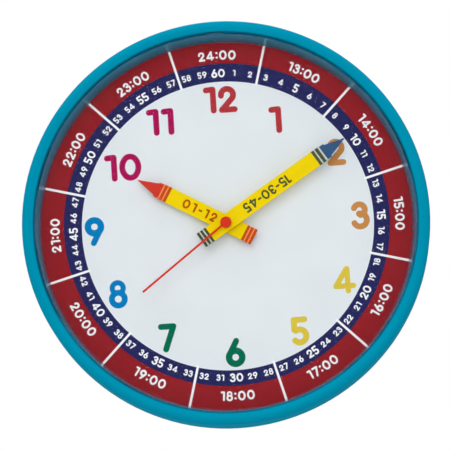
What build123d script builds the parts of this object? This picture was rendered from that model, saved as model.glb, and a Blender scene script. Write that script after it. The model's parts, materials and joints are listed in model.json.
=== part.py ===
from build123d import *
import os
from math import acos, cos, pi, radians, sin, tan

# Round wall clock for teaching the time. Millimetres, +Z towards 12 o'clock, +X towards 3 o'clock.
# The wall is the plane Y = 0 and the dial faces -Y, so a height is a distance in front of the wall.

# Rim, lens and inner wall
rim_radius = 130.0
rim_wall = 1.8
rim_skirt = 6.2
crown_inset = 3.9
crown_rise = 2.0
shoulder_drop = 4.8
lip_edge = 0.8
lip_overlap = 0.8
lip_notch_width = 11.0
lip_notch_depth = 0.8
lens_thickness = 1.6
lens_play = 0.3
lens_rib = 1.3
lens_rib_depth = 3.0
spacer_taper = 2.6
spacer_wall = 1.6
spacer_play = 0.1

# Pan, wall ring, dial and the screws that hold the rim on
pan_floor = 2.2
ring_wall = 2.0
ring_clear = 3.0
ring_groove = 1.0
pan_rib_count = 8
pan_rib_width = 1.4
pan_rib_height = 3.0
pan_rib_inner = 52.0
pan_rib_gap = 0.5
flange_play = 0.2
dial_thickness = 1.0
dial_margin = 1.5
rim_boss_radius = 2.4
rim_boss_bite = 0.1
rim_boss_gap = 0.5
rim_screw_count = 6
rim_screw_radius = 1.15
rim_screw_grip = 7.0
rim_screw_play = 0.15
rim_head_radius = 1.9
rim_head_height = 1.4

# Steel keyhole plate that hangs on a nail, on two posts of the pan
hanger_drop = 19.0
hanger_spacing = 32.0
hanger_margin = 6.0
hanger_thickness = 1.2
hanger_clear = 0.8
keyhole_radius = 4.5
keyhole_slot = 4.0
keyhole_rise = 8.0
hanger_width = 20.0
post_radius = 3.4
post_screw_radius = 1.3
post_screw_grip = 8.0
post_head_radius = 2.5
post_head_height = 1.2

# Fits
running_gap = 0.05
press_gap = 0.02
thread_gap = 0.03
overrun = 1.0

# Nested shafts on the hands' axis
second_arbor_radius = 0.45
minute_pipe_wall = 0.45
hour_pipe_wall = 0.5
bush_radius = 2.9
bush_play = 0.15
bush_proud = 0.2
bush_flange_radius = 4.2
bush_flange = 0.6
rubber_thickness = 1.0
rubber_radius = 9.0
washer_thickness = 0.5
washer_radius = 4.5
nut_thickness = 1.6
nut_flats = 7.6

# Hands, with their rest angles in degrees clockwise from 12 o'clock
hour_angle = 300.1
minute_angle = 57.8
second_angle = 233.15
hour_reach = 63.7
minute_reach = 93.6
second_reach = 69.3
hour_tail = 19.9
minute_tail = 19.4
hand_width = 10.4
hand_thickness = 1.0
hand_gap = 0.3
hand_collar = 1.8
hand_collar_wall = 1.0
cone_length = 13.8
cone_width = 8.1
ferrule_length = 3.2
ferrule_width = 9.8
second_width = 1.3
second_thickness = 0.5
second_hub_radius = 3.6
second_hub_thickness = 1.1
second_hub_round = 0.35
second_tube_wall = 0.5
lens_gap = 1.5

# Movement: knob, cover, train levels and shell, from the wall forwards
knob_clear = 1.5
knob_height = 2.4
knob_gap = 0.3
knob_radius = 5.2
knob_groove_count = 18
knob_groove_radius = 0.45
shell_wall = 1.2
cover_thickness = 1.2
bearing_height = 0.8
bearing_wall = 1.0
end_shake = 0.2
pivot_radius = 0.4
pivot_length = 1.0
level_gap = 0.7
wheel_thickness = 0.8
pinion_overhang = 0.2
hour_hub = 1.8
hub_wall = 0.9

# Wheels of the train: tooth counts and modules
pressure_angle = 20.0
addendum_share = 0.8
dedendum_share = 1.05
flank_shares = (0.0, 0.5, 1.0)
backlash = 0.04
rotor_teeth = 8
intermediate_wheel_teeth = 48
intermediate_pinion_teeth = 12
second_wheel_teeth = 60
second_pinion_teeth = 8
third_wheel_teeth = 64
third_pinion_teeth = 8
centre_wheel_teeth = 60
cannon_teeth = 12
setting_wheel_teeth = 36
setting_pinion_teeth = 10
hour_wheel_teeth = 40
eight_shift_share = 0.53
ten_shift_share = 0.42
twelve_shift_share = 0.3
rotor_module = 0.25
second_module = 0.25
third_module = 0.25
setting_distance = 9.0
intermediate_bearing = 90.0
rotor_bearing = 90.0
third_bearing = 10.0
setting_bearing = 170.0
arbor_radius = 0.5
setting_arbor_radius = 0.8
setting_neck_radius = 1.4
setting_stem_radius = 1.0

# Step motor
magnet_radius = 2.4
magnet_length = 2.0
magnet_hub_radius = 0.8
stator_gap = 0.4
stator_ring = 2.2
stator_thickness = 1.0
leg_width = 4.0
coil_length = 20.0
coil_gap = 0.6
core_width = 3.0
bobbin_wall = 0.7
bobbin_flange = 0.7
winding_depth = 1.2
flange_lip = 0.2
stake_radius = 0.6
coil_post_radius = 1.6
wall_gap = 0.4

# Battery bay, circuit board and contacts
battery_length = 50.2
battery_radius = 7.1
battery_round = 0.6
nub_radius = 2.7
nub_length = 1.2
bay_gap = 0.85
bay_floor_gap = 0.3
chamber_gap = 3.0
contact_thickness = 0.4
contact_width = 8.0
contact_strip = 3.0
contact_slot_play = 0.2
leaf_reach = 4.6
leaf_width = 6.0
board_thickness = 1.0
board_depth = 9.5
board_margin = 0.8
tab_inset = 3.2
tab_width = 2.4
crystal_radius = 0.9
crystal_length = 6.0
chip_side = 5.0
chip_thickness = 1.1
chip_inset = 2.0
corner_post_radius = 2.0
corner_post_bite = 0.15
cover_screw_radius = 0.9
cover_screw_grip = 5.0
cover_screw_play = 0.2
cover_head_radius = 1.6
cover_head_height = 0.9

os.makedirs("parts", exist_ok=True)


def front_plane(height, at=(0, 0)):
    # Plane parallel to the dial: local x is +X, local y is +Z and its normal faces the viewer.
    return Plane((at[0], -height, at[1]), x_dir=(1, 0, 0), z_dir=(0, -1, 0))


def turning_plane(at=(0, 0)):
    # Plane through an arbor: local x is the radius and local y the height above the wall.
    return Plane((at[0], 0, at[1]), x_dir=(1, 0, 0), z_dir=(0, 0, -1))


def arbor_axis(at=(0, 0)):
    return Axis((at[0], 0, at[1]), (0, 1, 0))


def polar(distance, bearing, start=(0, 0)):
    angle = radians(bearing)
    return (start[0] + distance * cos(angle), start[1] + distance * sin(angle))


def turned(steps, bore=0, at=(0, 0)):
    # Half section of a stepped arbor or tube, from (radius, low, high) steps in order.
    points = [(bore, steps[0][1])]
    for radius, low, high in steps:
        points += [(radius, low), (radius, high)]
    points.append((bore, steps[-1][2]))
    with BuildSketch(turning_plane(at)) as section_face:
        with BuildLine():
            Polyline(*points, close=True)
        make_face()
    return section_face.sketch


def involute(angle):
    return tan(angle) - angle


def tip_radius(teeth, module, shift_share):
    return module * (teeth / 2 + addendum_share + shift_share)


def gear_face(teeth, module, shift_share, turn, height, at=(0, 0)):
    # Involute gear outline with one tooth centred on the direction turn, thinned for backlash.
    pressure = radians(pressure_angle)
    pitch = module * teeth / 2
    base = pitch * cos(pressure)
    tip = tip_radius(teeth, module, shift_share)
    root = pitch - module * (dedendum_share - shift_share)
    start = max(base, root)
    pitch_half = (pi / 2 + 2 * shift_share * tan(pressure)) / teeth - backlash / (2 * pitch)
    flank = []
    for share in flank_shares:
        radius = start + (tip - start) * share
        flank.append((radius, pitch_half + involute(pressure) - involute(acos(base / radius))))
    if root < base:
        flank.insert(0, (root, flank[0][1]))
    points = []
    for tooth in range(teeth):
        centre = radians(turn) + 2 * pi * tooth / teeth
        for radius, half in flank:
            points.append((radius * cos(centre - half), radius * sin(centre - half)))
        for radius, half in reversed(flank):
            points.append((radius * cos(centre + half), radius * sin(centre + half)))
    with BuildSketch(front_plane(height, at)) as face:
        with BuildLine():
            Polyline(*points, close=True)
        make_face()
    return face.sketch


def mate_turn(bearing, teeth):
    # Direction that puts a tooth gap of the driven gear on the line of centres.
    return bearing + 180 + 180 / teeth


# Heights of the movement above the wall
knob_back = knob_clear
cover_back = knob_back + knob_height + knob_gap
cover_front = cover_back + cover_thickness
rear_shoulder = cover_front + bearing_height + end_shake
level_pitch = wheel_thickness + level_gap
second_wheel_low = rear_shoulder + level_gap
third_wheel_low = second_wheel_low + level_pitch
centre_wheel_low = third_wheel_low + level_pitch
intermediate_wheel_low = centre_wheel_low + level_pitch
setting_wheel_low = intermediate_wheel_low + level_pitch
hour_wheel_low = setting_wheel_low + level_pitch
hour_hub_front = hour_wheel_low + wheel_thickness + hour_hub
bush_back = hour_hub_front + end_shake
chamber_front = bush_back + bush_flange
front_shoulder = chamber_front - bearing_height - end_shake
movement_front = chamber_front + shell_wall

# Heights of the case and the hands above the wall
pan_back = movement_front + rubber_thickness
pan_front = pan_back + pan_floor
dial_front = pan_front + dial_thickness
washer_front = dial_front + washer_thickness
nut_front = washer_front + nut_thickness
bush_front = nut_front + bush_proud
hour_collar_back = bush_front + hand_gap
hour_blade_back = hour_collar_back + hand_collar
hour_blade_front = hour_blade_back + hand_thickness
minute_collar_back = hour_blade_front + hand_gap
minute_blade_back = minute_collar_back + hand_collar
minute_blade_front = minute_blade_back + hand_thickness
second_tube_back = minute_blade_front + hand_gap
second_blade_back = second_tube_back + hand_collar
second_hub_front = second_blade_back + second_hub_thickness
lens_back = second_hub_front + lens_gap
lens_front = lens_back + lens_thickness
lip_front = lens_front + lip_edge
crown_front = lip_front + crown_rise
shoulder_height = crown_front - shoulder_drop
rim_back = pan_back - rim_skirt

# Radii of the case
rim_inner = rim_radius - rim_wall
rim_screw_circle = rim_inner - rim_boss_radius + rim_boss_bite
lens_radius = rim_screw_circle - rim_boss_radius - rim_boss_gap
lip_radius = lens_radius - lip_overlap
rebate_radius = lens_radius + lens_play
spacer_top_outer = lens_radius - spacer_play
spacer_top_inner = spacer_top_outer - spacer_wall
spacer_foot_radius = spacer_top_inner - spacer_taper
spacer_foot_outer = spacer_foot_radius + spacer_wall
dial_radius = spacer_foot_outer + dial_margin
flange_radius = rim_inner - flange_play
ring_radius = rim_screw_circle - rim_head_radius - ring_clear
ring_inner = ring_radius - ring_wall
hanger_height = ring_inner - hanger_drop
crown_radius = rim_radius - crown_inset
crown_round = (crown_inset**2 + shoulder_drop**2) / (2 * crown_inset)

# Radii of the nested shafts
minute_pipe_bore = second_arbor_radius + running_gap
minute_pipe_radius = minute_pipe_bore + minute_pipe_wall
hour_pipe_bore = minute_pipe_radius + running_gap
hour_pipe_radius = hour_pipe_bore + hour_pipe_wall
bush_bore = hour_pipe_radius + running_gap
bush_hole = bush_radius + bush_play

# Arbor places, seen from the front
second_distance = second_module * (second_wheel_teeth + intermediate_pinion_teeth) / 2
rotor_distance = rotor_module * (rotor_teeth + intermediate_wheel_teeth) / 2
third_distance = third_module * (third_pinion_teeth + centre_wheel_teeth) / 2
second_pinion_module = 2 * third_distance / (second_pinion_teeth + third_wheel_teeth)
cannon_module = 2 * setting_distance / (cannon_teeth + setting_wheel_teeth)
hour_module = 2 * setting_distance / (setting_pinion_teeth + hour_wheel_teeth)
intermediate_at = polar(second_distance, intermediate_bearing)
rotor_at = polar(rotor_distance, rotor_bearing, intermediate_at)
third_at = polar(third_distance, third_bearing)
setting_at = polar(setting_distance, setting_bearing)
centre_at = (0, 0)
train_places = [intermediate_at, rotor_at, third_at]

# Step motor places
stator_hole = magnet_radius + stator_gap
stator_lobe = stator_hole + stator_ring
bobbin_radius = (core_width**2 + stator_thickness**2) ** 0.5 / 2 + bobbin_wall
winding_radius = bobbin_radius + winding_depth
bobbin_flange_radius = winding_radius + flange_lip
coil_z = rotor_at[1] + stator_lobe + coil_gap + bobbin_flange_radius
leg_x = coil_length / 2 + leg_width / 2 + coil_gap / 2
stator_back = centre_wheel_low - level_gap
stator_front = stator_back + stator_thickness
core_front = stator_front + stator_thickness
coil_height = stator_front + stator_thickness / 2
magnet_back = stator_back + (stator_thickness - magnet_length) / 2
magnet_front = magnet_back + magnet_length

# Movement shell places
second_tip = tip_radius(second_wheel_teeth, second_module, -twelve_shift_share)
chamber_half = (battery_length + leaf_reach + 2 * contact_thickness) / 2
chamber_low = -(second_tip + chamber_gap)
chamber_high = coil_z + bobbin_flange_radius + wall_gap
shell_half = chamber_half + shell_wall
shell_high = chamber_high + shell_wall
bay_high = chamber_low - shell_wall
battery_z = bay_high - bay_gap - battery_radius
bay_low = battery_z - battery_radius - bay_gap
shell_low = bay_low - shell_wall
battery_height = chamber_front - bay_floor_gap - battery_radius
post_reach = corner_post_radius - corner_post_bite
post_x = chamber_half - post_reach
corner_places = [
    (side * post_x, z) for side in (-1, 1) for z in (chamber_low + post_reach, chamber_high - post_reach)
]
board_half = post_x - corner_post_radius - board_margin
board_back = chamber_front - board_depth
board_top = chamber_low + board_thickness
tab_x = board_half - tab_inset
strip_front = chamber_front - bay_floor_gap
strip_back = strip_front - contact_strip


# Glossy rim: a hollow moulding with a rounded crown, a lip over the lens and six screw bosses
with BuildPart() as front_bezel:
    with BuildSketch(turning_plane()):
        with BuildLine():
            Line((rim_radius, rim_back), (rim_radius, shoulder_height))
            RadiusArc((rim_radius, shoulder_height), (crown_radius, crown_front), -crown_round)
            SagittaArc((crown_radius, crown_front), (lip_radius, lip_front), -lip_edge / 2)
            Polyline(
                (lip_radius, lip_front),
                (lip_radius, lens_front),
                (rebate_radius, lens_front),
                (rebate_radius, lens_back - lens_rib_depth),
                (rebate_radius + lens_rib, lens_back - lens_rib_depth),
                (rebate_radius + lens_rib, lens_front),
                (rim_inner, shoulder_height),
                (rim_inner, rim_back),
                (rim_radius, rim_back),
            )
        make_face()
    revolve(axis=arbor_axis())
    with BuildSketch(front_plane(pan_front)):
        with PolarLocations(rim_screw_circle, rim_screw_count):
            Circle(rim_boss_radius)
    extrude(amount=lens_front - pan_front)
    with BuildSketch(front_plane(pan_front)):
        with PolarLocations(rim_screw_circle, rim_screw_count):
            Circle(rim_screw_radius + thread_gap)
    extrude(amount=rim_screw_grip + overrun, mode=Mode.SUBTRACT)
    with BuildSketch(front_plane(lens_front, (0, lip_radius))):
        Rectangle(lip_notch_width, 2 * lip_notch_depth)
    extrude(amount=lip_edge + crown_rise, mode=Mode.SUBTRACT)
front_bezel.part.label = "front_bezel"
export_step(front_bezel.part, "parts/front_bezel.step")

# Clear flat lens behind the lip
with BuildPart() as lens:
    with BuildSketch(front_plane(lens_back)):
        Circle(lens_radius)
    extrude(amount=lens_thickness)
lens.part.label = "lens"
export_step(lens.part, "parts/lens.step")

# Conical inner wall between the dial and the lens
with BuildPart() as spacer_ring:
    with BuildSketch(turning_plane()):
        with BuildLine():
            Polyline(
                (spacer_foot_radius, dial_front),
                (spacer_foot_outer, dial_front),
                (spacer_top_outer, lens_back),
                (spacer_top_inner, lens_back),
                close=True,
            )
        make_face()
    revolve(axis=arbor_axis())
spacer_ring.part.label = "spacer_ring"
export_step(spacer_ring.part, "parts/spacer_ring.step")

# Printed dial sheet
with BuildPart() as dial_plate:
    with BuildSketch(front_plane(pan_front)):
        Circle(dial_radius)
        Circle(bush_hole, mode=Mode.SUBTRACT)
    extrude(amount=dial_thickness)
dial_plate.part.label = "dial_plate"
export_step(dial_plate.part, "parts/dial_plate.step")

# Back pan: floor with the screw flange, ribs, the two hanger posts and a groove for the wall ring
hanger_back = hanger_clear + post_head_height
hanger_front = hanger_back + hanger_thickness
post_places = [(-hanger_spacing / 2, hanger_height), (hanger_spacing / 2, hanger_height)]
rib_angles = [(rib + 1 / 2) * 360 / pan_rib_count for rib in range(pan_rib_count)]
rib_length = ring_inner - pan_rib_gap - pan_rib_inner
with BuildPart() as case_pan:
    with BuildSketch(front_plane(pan_back)):
        Circle(flange_radius)
        Circle(bush_hole, mode=Mode.SUBTRACT)
        with PolarLocations(rim_screw_circle, rim_screw_count):
            Circle(rim_screw_radius + rim_screw_play, mode=Mode.SUBTRACT)
    extrude(amount=pan_floor)
    with BuildSketch(front_plane(pan_back)):
        Circle(ring_radius + press_gap)
        Circle(ring_inner - press_gap, mode=Mode.SUBTRACT)
    extrude(amount=ring_groove, mode=Mode.SUBTRACT)
    with BuildSketch(front_plane(pan_back - pan_rib_height)):
        for rib_angle in rib_angles:
            with Locations(Location(polar(pan_rib_inner, rib_angle), rib_angle)):
                Rectangle(rib_length, pan_rib_width, align=(Align.MIN, Align.CENTER))
    extrude(amount=pan_rib_height)
    with BuildSketch(front_plane(hanger_front)):
        with Locations(*post_places):
            Circle(post_radius)
    extrude(amount=pan_back - hanger_front)
    with BuildSketch(front_plane(hanger_front)):
        with Locations(*post_places):
            Circle(post_screw_radius + thread_gap)
    extrude(amount=post_screw_grip + overrun, mode=Mode.SUBTRACT)
case_pan.part.label = "case_pan"
export_step(case_pan.part, "parts/case_pan.step")

# Ring that stands the pan off the wall, pressed into the groove
with BuildPart() as wall_ring:
    with BuildSketch(front_plane(0)):
        Circle(ring_radius)
        Circle(ring_inner, mode=Mode.SUBTRACT)
    extrude(amount=pan_back + ring_groove)
wall_ring.part.label = "wall_ring"
export_step(wall_ring.part, "parts/wall_ring.step")


def screw_set(places, radius, grip, head_radius, head_height, seat):
    # Pan head screws driven from behind: heads behind the seat, shanks in front of it.
    with BuildPart() as screws:
        with BuildSketch(front_plane(seat - head_height)):
            with Locations(*places):
                Circle(head_radius)
        extrude(amount=head_height)
        rounded = screws.edges().group_by(Axis.Y)[-1]
        fillet(rounded, radius=head_height / 2)
        with BuildSketch(front_plane(seat)):
            with Locations(*places):
                Circle(radius)
        extrude(amount=grip)
        with BuildSketch(front_plane(seat - head_height)):
            with Locations(*places):
                Rectangle(head_radius, head_radius / 4)
                Rectangle(head_radius / 4, head_radius)
        extrude(amount=head_height / 2, mode=Mode.SUBTRACT)
    return screws.part


# Six screws from behind the flange into the rim's bosses
rim_screw_places = [polar(rim_screw_circle, 360 * k / rim_screw_count) for k in range(rim_screw_count)]
rim_screw_length = pan_floor + rim_screw_grip
bezel_screws = screw_set(
    rim_screw_places, rim_screw_radius, rim_screw_length, rim_head_radius, rim_head_height, pan_back
)
bezel_screws.label = "bezel_screws"
export_step(bezel_screws, "parts/bezel_screws.step")

# Keyhole hanger plate and its two screws
with BuildPart() as hanger_plate:
    with BuildSketch(front_plane(hanger_back, (0, hanger_height))):
        RectangleRounded(hanger_spacing + 2 * hanger_margin, hanger_width, hanger_margin / 2)
        with Locations((0, -keyhole_rise / 2)):
            Circle(keyhole_radius, mode=Mode.SUBTRACT)
        SlotCenterToCenter(keyhole_rise, keyhole_slot, rotation=90, mode=Mode.SUBTRACT)
        with Locations((-hanger_spacing / 2, 0), (hanger_spacing / 2, 0)):
            Circle(post_screw_radius + thread_gap, mode=Mode.SUBTRACT)
    extrude(amount=hanger_thickness)
hanger_plate.part.label = "hanger_plate"
export_step(hanger_plate.part, "parts/hanger_plate.step")

hanger_screw_length = hanger_thickness + post_screw_grip
hanger_screws = screw_set(
    post_places, post_screw_radius, hanger_screw_length, post_head_radius, post_head_height, hanger_back
)
hanger_screws.label = "hanger_screws"
export_step(hanger_screws, "parts/hanger_screws.step")

# Threaded brass bush, with the rubber washer, flat washer and nut that clamp the movement to the dial
with BuildPart() as centre_bush:
    bush_steps = [(bush_flange_radius, bush_back, chamber_front), (bush_radius, chamber_front, bush_front)]
    revolve(turned(bush_steps, bush_bore), axis=arbor_axis())
centre_bush.part.label = "centre_bush"
export_step(centre_bush.part, "parts/centre_bush.step")

with BuildPart() as rubber_washer:
    revolve(turned([(rubber_radius, movement_front, pan_back)], bush_hole), axis=arbor_axis())
rubber_washer.part.label = "rubber_washer"
export_step(rubber_washer.part, "parts/rubber_washer.step")

with BuildPart() as flat_washer:
    revolve(turned([(washer_radius, dial_front, washer_front)], bush_hole), axis=arbor_axis())
flat_washer.part.label = "flat_washer"
export_step(flat_washer.part, "parts/flat_washer.step")

with BuildPart() as hex_nut:
    with BuildSketch(front_plane(washer_front)):
        RegularPolygon(nut_flats / 2, 6, major_radius=False)
        Circle(bush_radius + thread_gap, mode=Mode.SUBTRACT)
    extrude(amount=nut_thickness)
hex_nut.part.label = "hex_nut"
export_step(hex_nut.part, "parts/hex_nut.step")


def hand_plane(height, angle):
    # Plane whose local x runs along a hand, from the hands' axis to its tip.
    bearing = radians(angle)
    return Plane((0, -height, 0), x_dir=(sin(bearing), 0, cos(bearing)), z_dir=(0, -1, 0))


def crayon_hand(reach, tail, angle, collar_back, blade_back, bore):
    # Flat hand shaped like a crayon: cone, ferrule step and straight body, with a collar behind.
    cone_end = reach - cone_length
    ferrule_end = cone_end - ferrule_length
    edge = [
        (reach, 0),
        (cone_end, cone_width / 2),
        (cone_end, ferrule_width / 2),
        (ferrule_end, ferrule_width / 2),
        (ferrule_end, hand_width / 2),
        (-tail, hand_width / 2),
    ]
    other_edge = [(along, -across) for along, across in reversed(edge[1:])]
    with BuildPart() as hand:
        with BuildSketch(hand_plane(blade_back, angle)):
            with BuildLine():
                Polyline(*edge, *other_edge, close=True)
            make_face()
        extrude(amount=hand_thickness)
        with BuildSketch(front_plane(collar_back)):
            Circle(bore + hand_collar_wall)
        extrude(amount=blade_back - collar_back)
        with BuildSketch(front_plane(collar_back)):
            Circle(bore)
        extrude(amount=blade_back + hand_thickness - collar_back, mode=Mode.SUBTRACT)
    return hand.part


hour_hand = crayon_hand(
    hour_reach, hour_tail, hour_angle, hour_collar_back, hour_blade_back, hour_pipe_radius + press_gap
)
hour_hand.label = "hour_hand"
export_step(hour_hand, "parts/hour_hand.step")

minute_hand = crayon_hand(
    minute_reach, minute_tail, minute_angle, minute_collar_back, minute_blade_back,
    minute_pipe_radius + press_gap,
)
minute_hand.label = "minute_hand"
export_step(minute_hand, "parts/minute_hand.step")

# Thin second hand with a round hub, on a brass tube
second_tube_bore = second_arbor_radius + press_gap
second_tube_radius = second_tube_bore + second_tube_wall
arbor_front = second_hub_front - second_hub_thickness / 2
with BuildPart() as second_hand:
    with BuildSketch(front_plane(second_blade_back)):
        Circle(second_hub_radius)
    extrude(amount=second_hub_thickness)
    fillet(second_hand.edges().group_by(Axis.Y)[0], radius=second_hub_round)
    with BuildSketch(hand_plane(second_blade_back, second_angle)):
        Rectangle(second_reach, second_width, align=(Align.MIN, Align.CENTER))
    extrude(amount=second_thickness)
    with BuildSketch(front_plane(second_blade_back)):
        Circle(second_tube_radius + press_gap)
    extrude(amount=arbor_front - second_blade_back, mode=Mode.SUBTRACT)
second_hand.part.label = "second_hand"
export_step(second_hand.part, "parts/second_hand.step")

with BuildPart() as second_hand_tube:
    revolve(turned([(second_tube_radius, second_tube_back, arbor_front)], second_tube_bore), axis=arbor_axis())
second_hand_tube.part.label = "second_hand_tube"
export_step(second_hand_tube.part, "parts/second_hand_tube.step")

# Second wheel with its pinion, pressed on the long steel arbor
second_pinion_front = third_wheel_low + wheel_thickness + pinion_overhang
with BuildPart() as second_wheel:
    extrude(
        gear_face(
            second_wheel_teeth, second_module, -twelve_shift_share, intermediate_bearing, second_wheel_low
        ),
        amount=wheel_thickness,
    )
    extrude(
        gear_face(
            second_pinion_teeth, second_pinion_module, eight_shift_share, third_bearing, second_wheel_low
        ),
        amount=second_pinion_front - second_wheel_low,
    )
    with BuildSketch(front_plane(second_wheel_low)):
        Circle(second_arbor_radius + press_gap)
    extrude(amount=second_pinion_front - second_wheel_low, mode=Mode.SUBTRACT)
second_wheel.part.label = "second_wheel"
export_step(second_wheel.part, "parts/second_wheel.step")

with BuildPart() as second_arbor:
    revolve(turned([(second_arbor_radius, rear_shoulder - pivot_length, arbor_front)]), axis=arbor_axis())
second_arbor.part.label = "second_arbor"
export_step(second_arbor.part, "parts/second_arbor.step")

# Third wheel and pinion, in one moulding with its pivots
third_pinion_front = centre_wheel_low + wheel_thickness + pinion_overhang
third_wheel_front = third_wheel_low + wheel_thickness
with BuildPart() as third_wheel:
    third_steps = [
        (pivot_radius, rear_shoulder - pivot_length, rear_shoulder),
        (arbor_radius, rear_shoulder, front_shoulder),
        (pivot_radius, front_shoulder, front_shoulder + pivot_length),
    ]
    revolve(turned(third_steps, at=third_at), axis=arbor_axis(third_at))
    third_turn = mate_turn(third_bearing, third_wheel_teeth)
    extrude(
        gear_face(
            third_wheel_teeth, second_pinion_module, -eight_shift_share, third_turn, third_wheel_low, third_at
        ),
        amount=wheel_thickness,
    )
    third_pinion_turn = mate_turn(third_bearing, third_pinion_teeth)
    extrude(
        gear_face(
            third_pinion_teeth, third_module, eight_shift_share, third_pinion_turn, third_wheel_front, third_at
        ),
        amount=third_pinion_front - third_wheel_front,
    )
third_wheel.part.label = "third_wheel"
export_step(third_wheel.part, "parts/third_wheel.step")

# Centre wheel, a slipping fit round the rear end of the minute pipe
minute_pipe_back = second_pinion_front + end_shake
with BuildPart() as centre_wheel:
    extrude(
        gear_face(centre_wheel_teeth, third_module, -eight_shift_share, third_bearing, centre_wheel_low),
        amount=wheel_thickness,
    )
    with BuildSketch(front_plane(centre_wheel_low)):
        Circle(minute_pipe_radius + running_gap + hub_wall)
    extrude(amount=wheel_thickness + level_gap / 2)
    with BuildSketch(front_plane(centre_wheel_low)):
        Circle(minute_pipe_radius + running_gap)
    extrude(amount=wheel_thickness + level_gap / 2, mode=Mode.SUBTRACT)
centre_wheel.part.label = "centre_wheel"
export_step(centre_wheel.part, "parts/centre_wheel.step")

# Minute pipe with the cannon pinion that drives the motion work
cannon_back = setting_wheel_low - pinion_overhang
cannon_front = setting_wheel_low + wheel_thickness + pinion_overhang
with BuildPart() as minute_pipe:
    revolve(turned([(minute_pipe_radius, minute_pipe_back, minute_blade_front)]), axis=arbor_axis())
    extrude(
        gear_face(cannon_teeth, cannon_module, twelve_shift_share, setting_bearing, cannon_back),
        amount=cannon_front - cannon_back,
    )
    with BuildSketch(front_plane(minute_pipe_back)):
        Circle(minute_pipe_bore)
    extrude(amount=minute_blade_front - minute_pipe_back, mode=Mode.SUBTRACT)
minute_pipe.part.label = "minute_pipe"
export_step(minute_pipe.part, "parts/minute_pipe.step")

# Hour wheel with the pipe that carries the hour hand
with BuildPart() as hour_wheel:
    hour_steps = [
        (hour_pipe_radius + hub_wall, hour_wheel_low, hour_hub_front),
        (hour_pipe_radius, hour_hub_front, hour_blade_front),
    ]
    revolve(turned(hour_steps), axis=arbor_axis())
    extrude(
        gear_face(hour_wheel_teeth, hour_module, -ten_shift_share, setting_bearing, hour_wheel_low),
        amount=wheel_thickness,
    )
    with BuildSketch(front_plane(hour_wheel_low)):
        Circle(hour_pipe_bore)
    extrude(amount=hour_blade_front - hour_wheel_low, mode=Mode.SUBTRACT)
hour_wheel.part.label = "hour_wheel"
export_step(hour_wheel.part, "parts/hour_wheel.step")

# Setting arbor: motion work wheel and pinion, with a stem for the knob behind the cover
setting_pinion_back = setting_wheel_low + wheel_thickness
setting_pinion_front = hour_wheel_low + wheel_thickness + pinion_overhang
knob_front = knob_back + knob_height
knob_socket = knob_back + knob_height / 3
with BuildPart() as setting_wheel:
    setting_steps = [
        (setting_stem_radius, knob_socket, knob_front),
        (setting_neck_radius, knob_front, rear_shoulder),
        (setting_arbor_radius, rear_shoulder, front_shoulder),
        (pivot_radius, front_shoulder, front_shoulder + pivot_length),
    ]
    revolve(turned(setting_steps, at=setting_at), axis=arbor_axis(setting_at))
    setting_turn = mate_turn(setting_bearing, setting_wheel_teeth)
    extrude(
        gear_face(
            setting_wheel_teeth, cannon_module, -twelve_shift_share, setting_turn, setting_wheel_low, setting_at
        ),
        amount=wheel_thickness,
    )
    setting_pinion_turn = mate_turn(setting_bearing, setting_pinion_teeth)
    extrude(
        gear_face(
            setting_pinion_teeth, hour_module, ten_shift_share, setting_pinion_turn, setting_pinion_back,
            setting_at,
        ),
        amount=setting_pinion_front - setting_pinion_back,
    )
setting_wheel.part.label = "setting_wheel"
export_step(setting_wheel.part, "parts/setting_wheel.step")

with BuildPart() as setting_knob:
    with BuildSketch(front_plane(knob_back, setting_at)):
        Circle(knob_radius)
        with PolarLocations(knob_radius, knob_groove_count):
            Circle(knob_groove_radius, mode=Mode.SUBTRACT)
    extrude(amount=knob_height)
    with BuildSketch(front_plane(knob_socket, setting_at)):
        Circle(setting_stem_radius + press_gap)
    extrude(amount=knob_front - knob_socket, mode=Mode.SUBTRACT)
setting_knob.part.label = "setting_knob"
export_step(setting_knob.part, "parts/setting_knob.step")

# Intermediate wheel and pinion between the rotor and the second wheel
intermediate_pinion_back = second_wheel_low - pinion_overhang
intermediate_pinion_front = second_wheel_low + wheel_thickness + pinion_overhang
with BuildPart() as intermediate_wheel:
    intermediate_steps = [
        (pivot_radius, rear_shoulder - pivot_length, rear_shoulder),
        (arbor_radius, rear_shoulder, front_shoulder),
        (pivot_radius, front_shoulder, front_shoulder + pivot_length),
    ]
    revolve(turned(intermediate_steps, at=intermediate_at), axis=arbor_axis(intermediate_at))
    extrude(
        gear_face(
            intermediate_wheel_teeth, rotor_module, -eight_shift_share, rotor_bearing,
            intermediate_wheel_low, intermediate_at,
        ),
        amount=wheel_thickness,
    )
    intermediate_turn = mate_turn(intermediate_bearing, intermediate_pinion_teeth)
    extrude(
        gear_face(
            intermediate_pinion_teeth, second_module, twelve_shift_share, intermediate_turn,
            intermediate_pinion_back, intermediate_at,
        ),
        amount=intermediate_pinion_front - intermediate_pinion_back,
    )
intermediate_wheel.part.label = "intermediate_wheel"
export_step(intermediate_wheel.part, "parts/intermediate_wheel.step")

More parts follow.
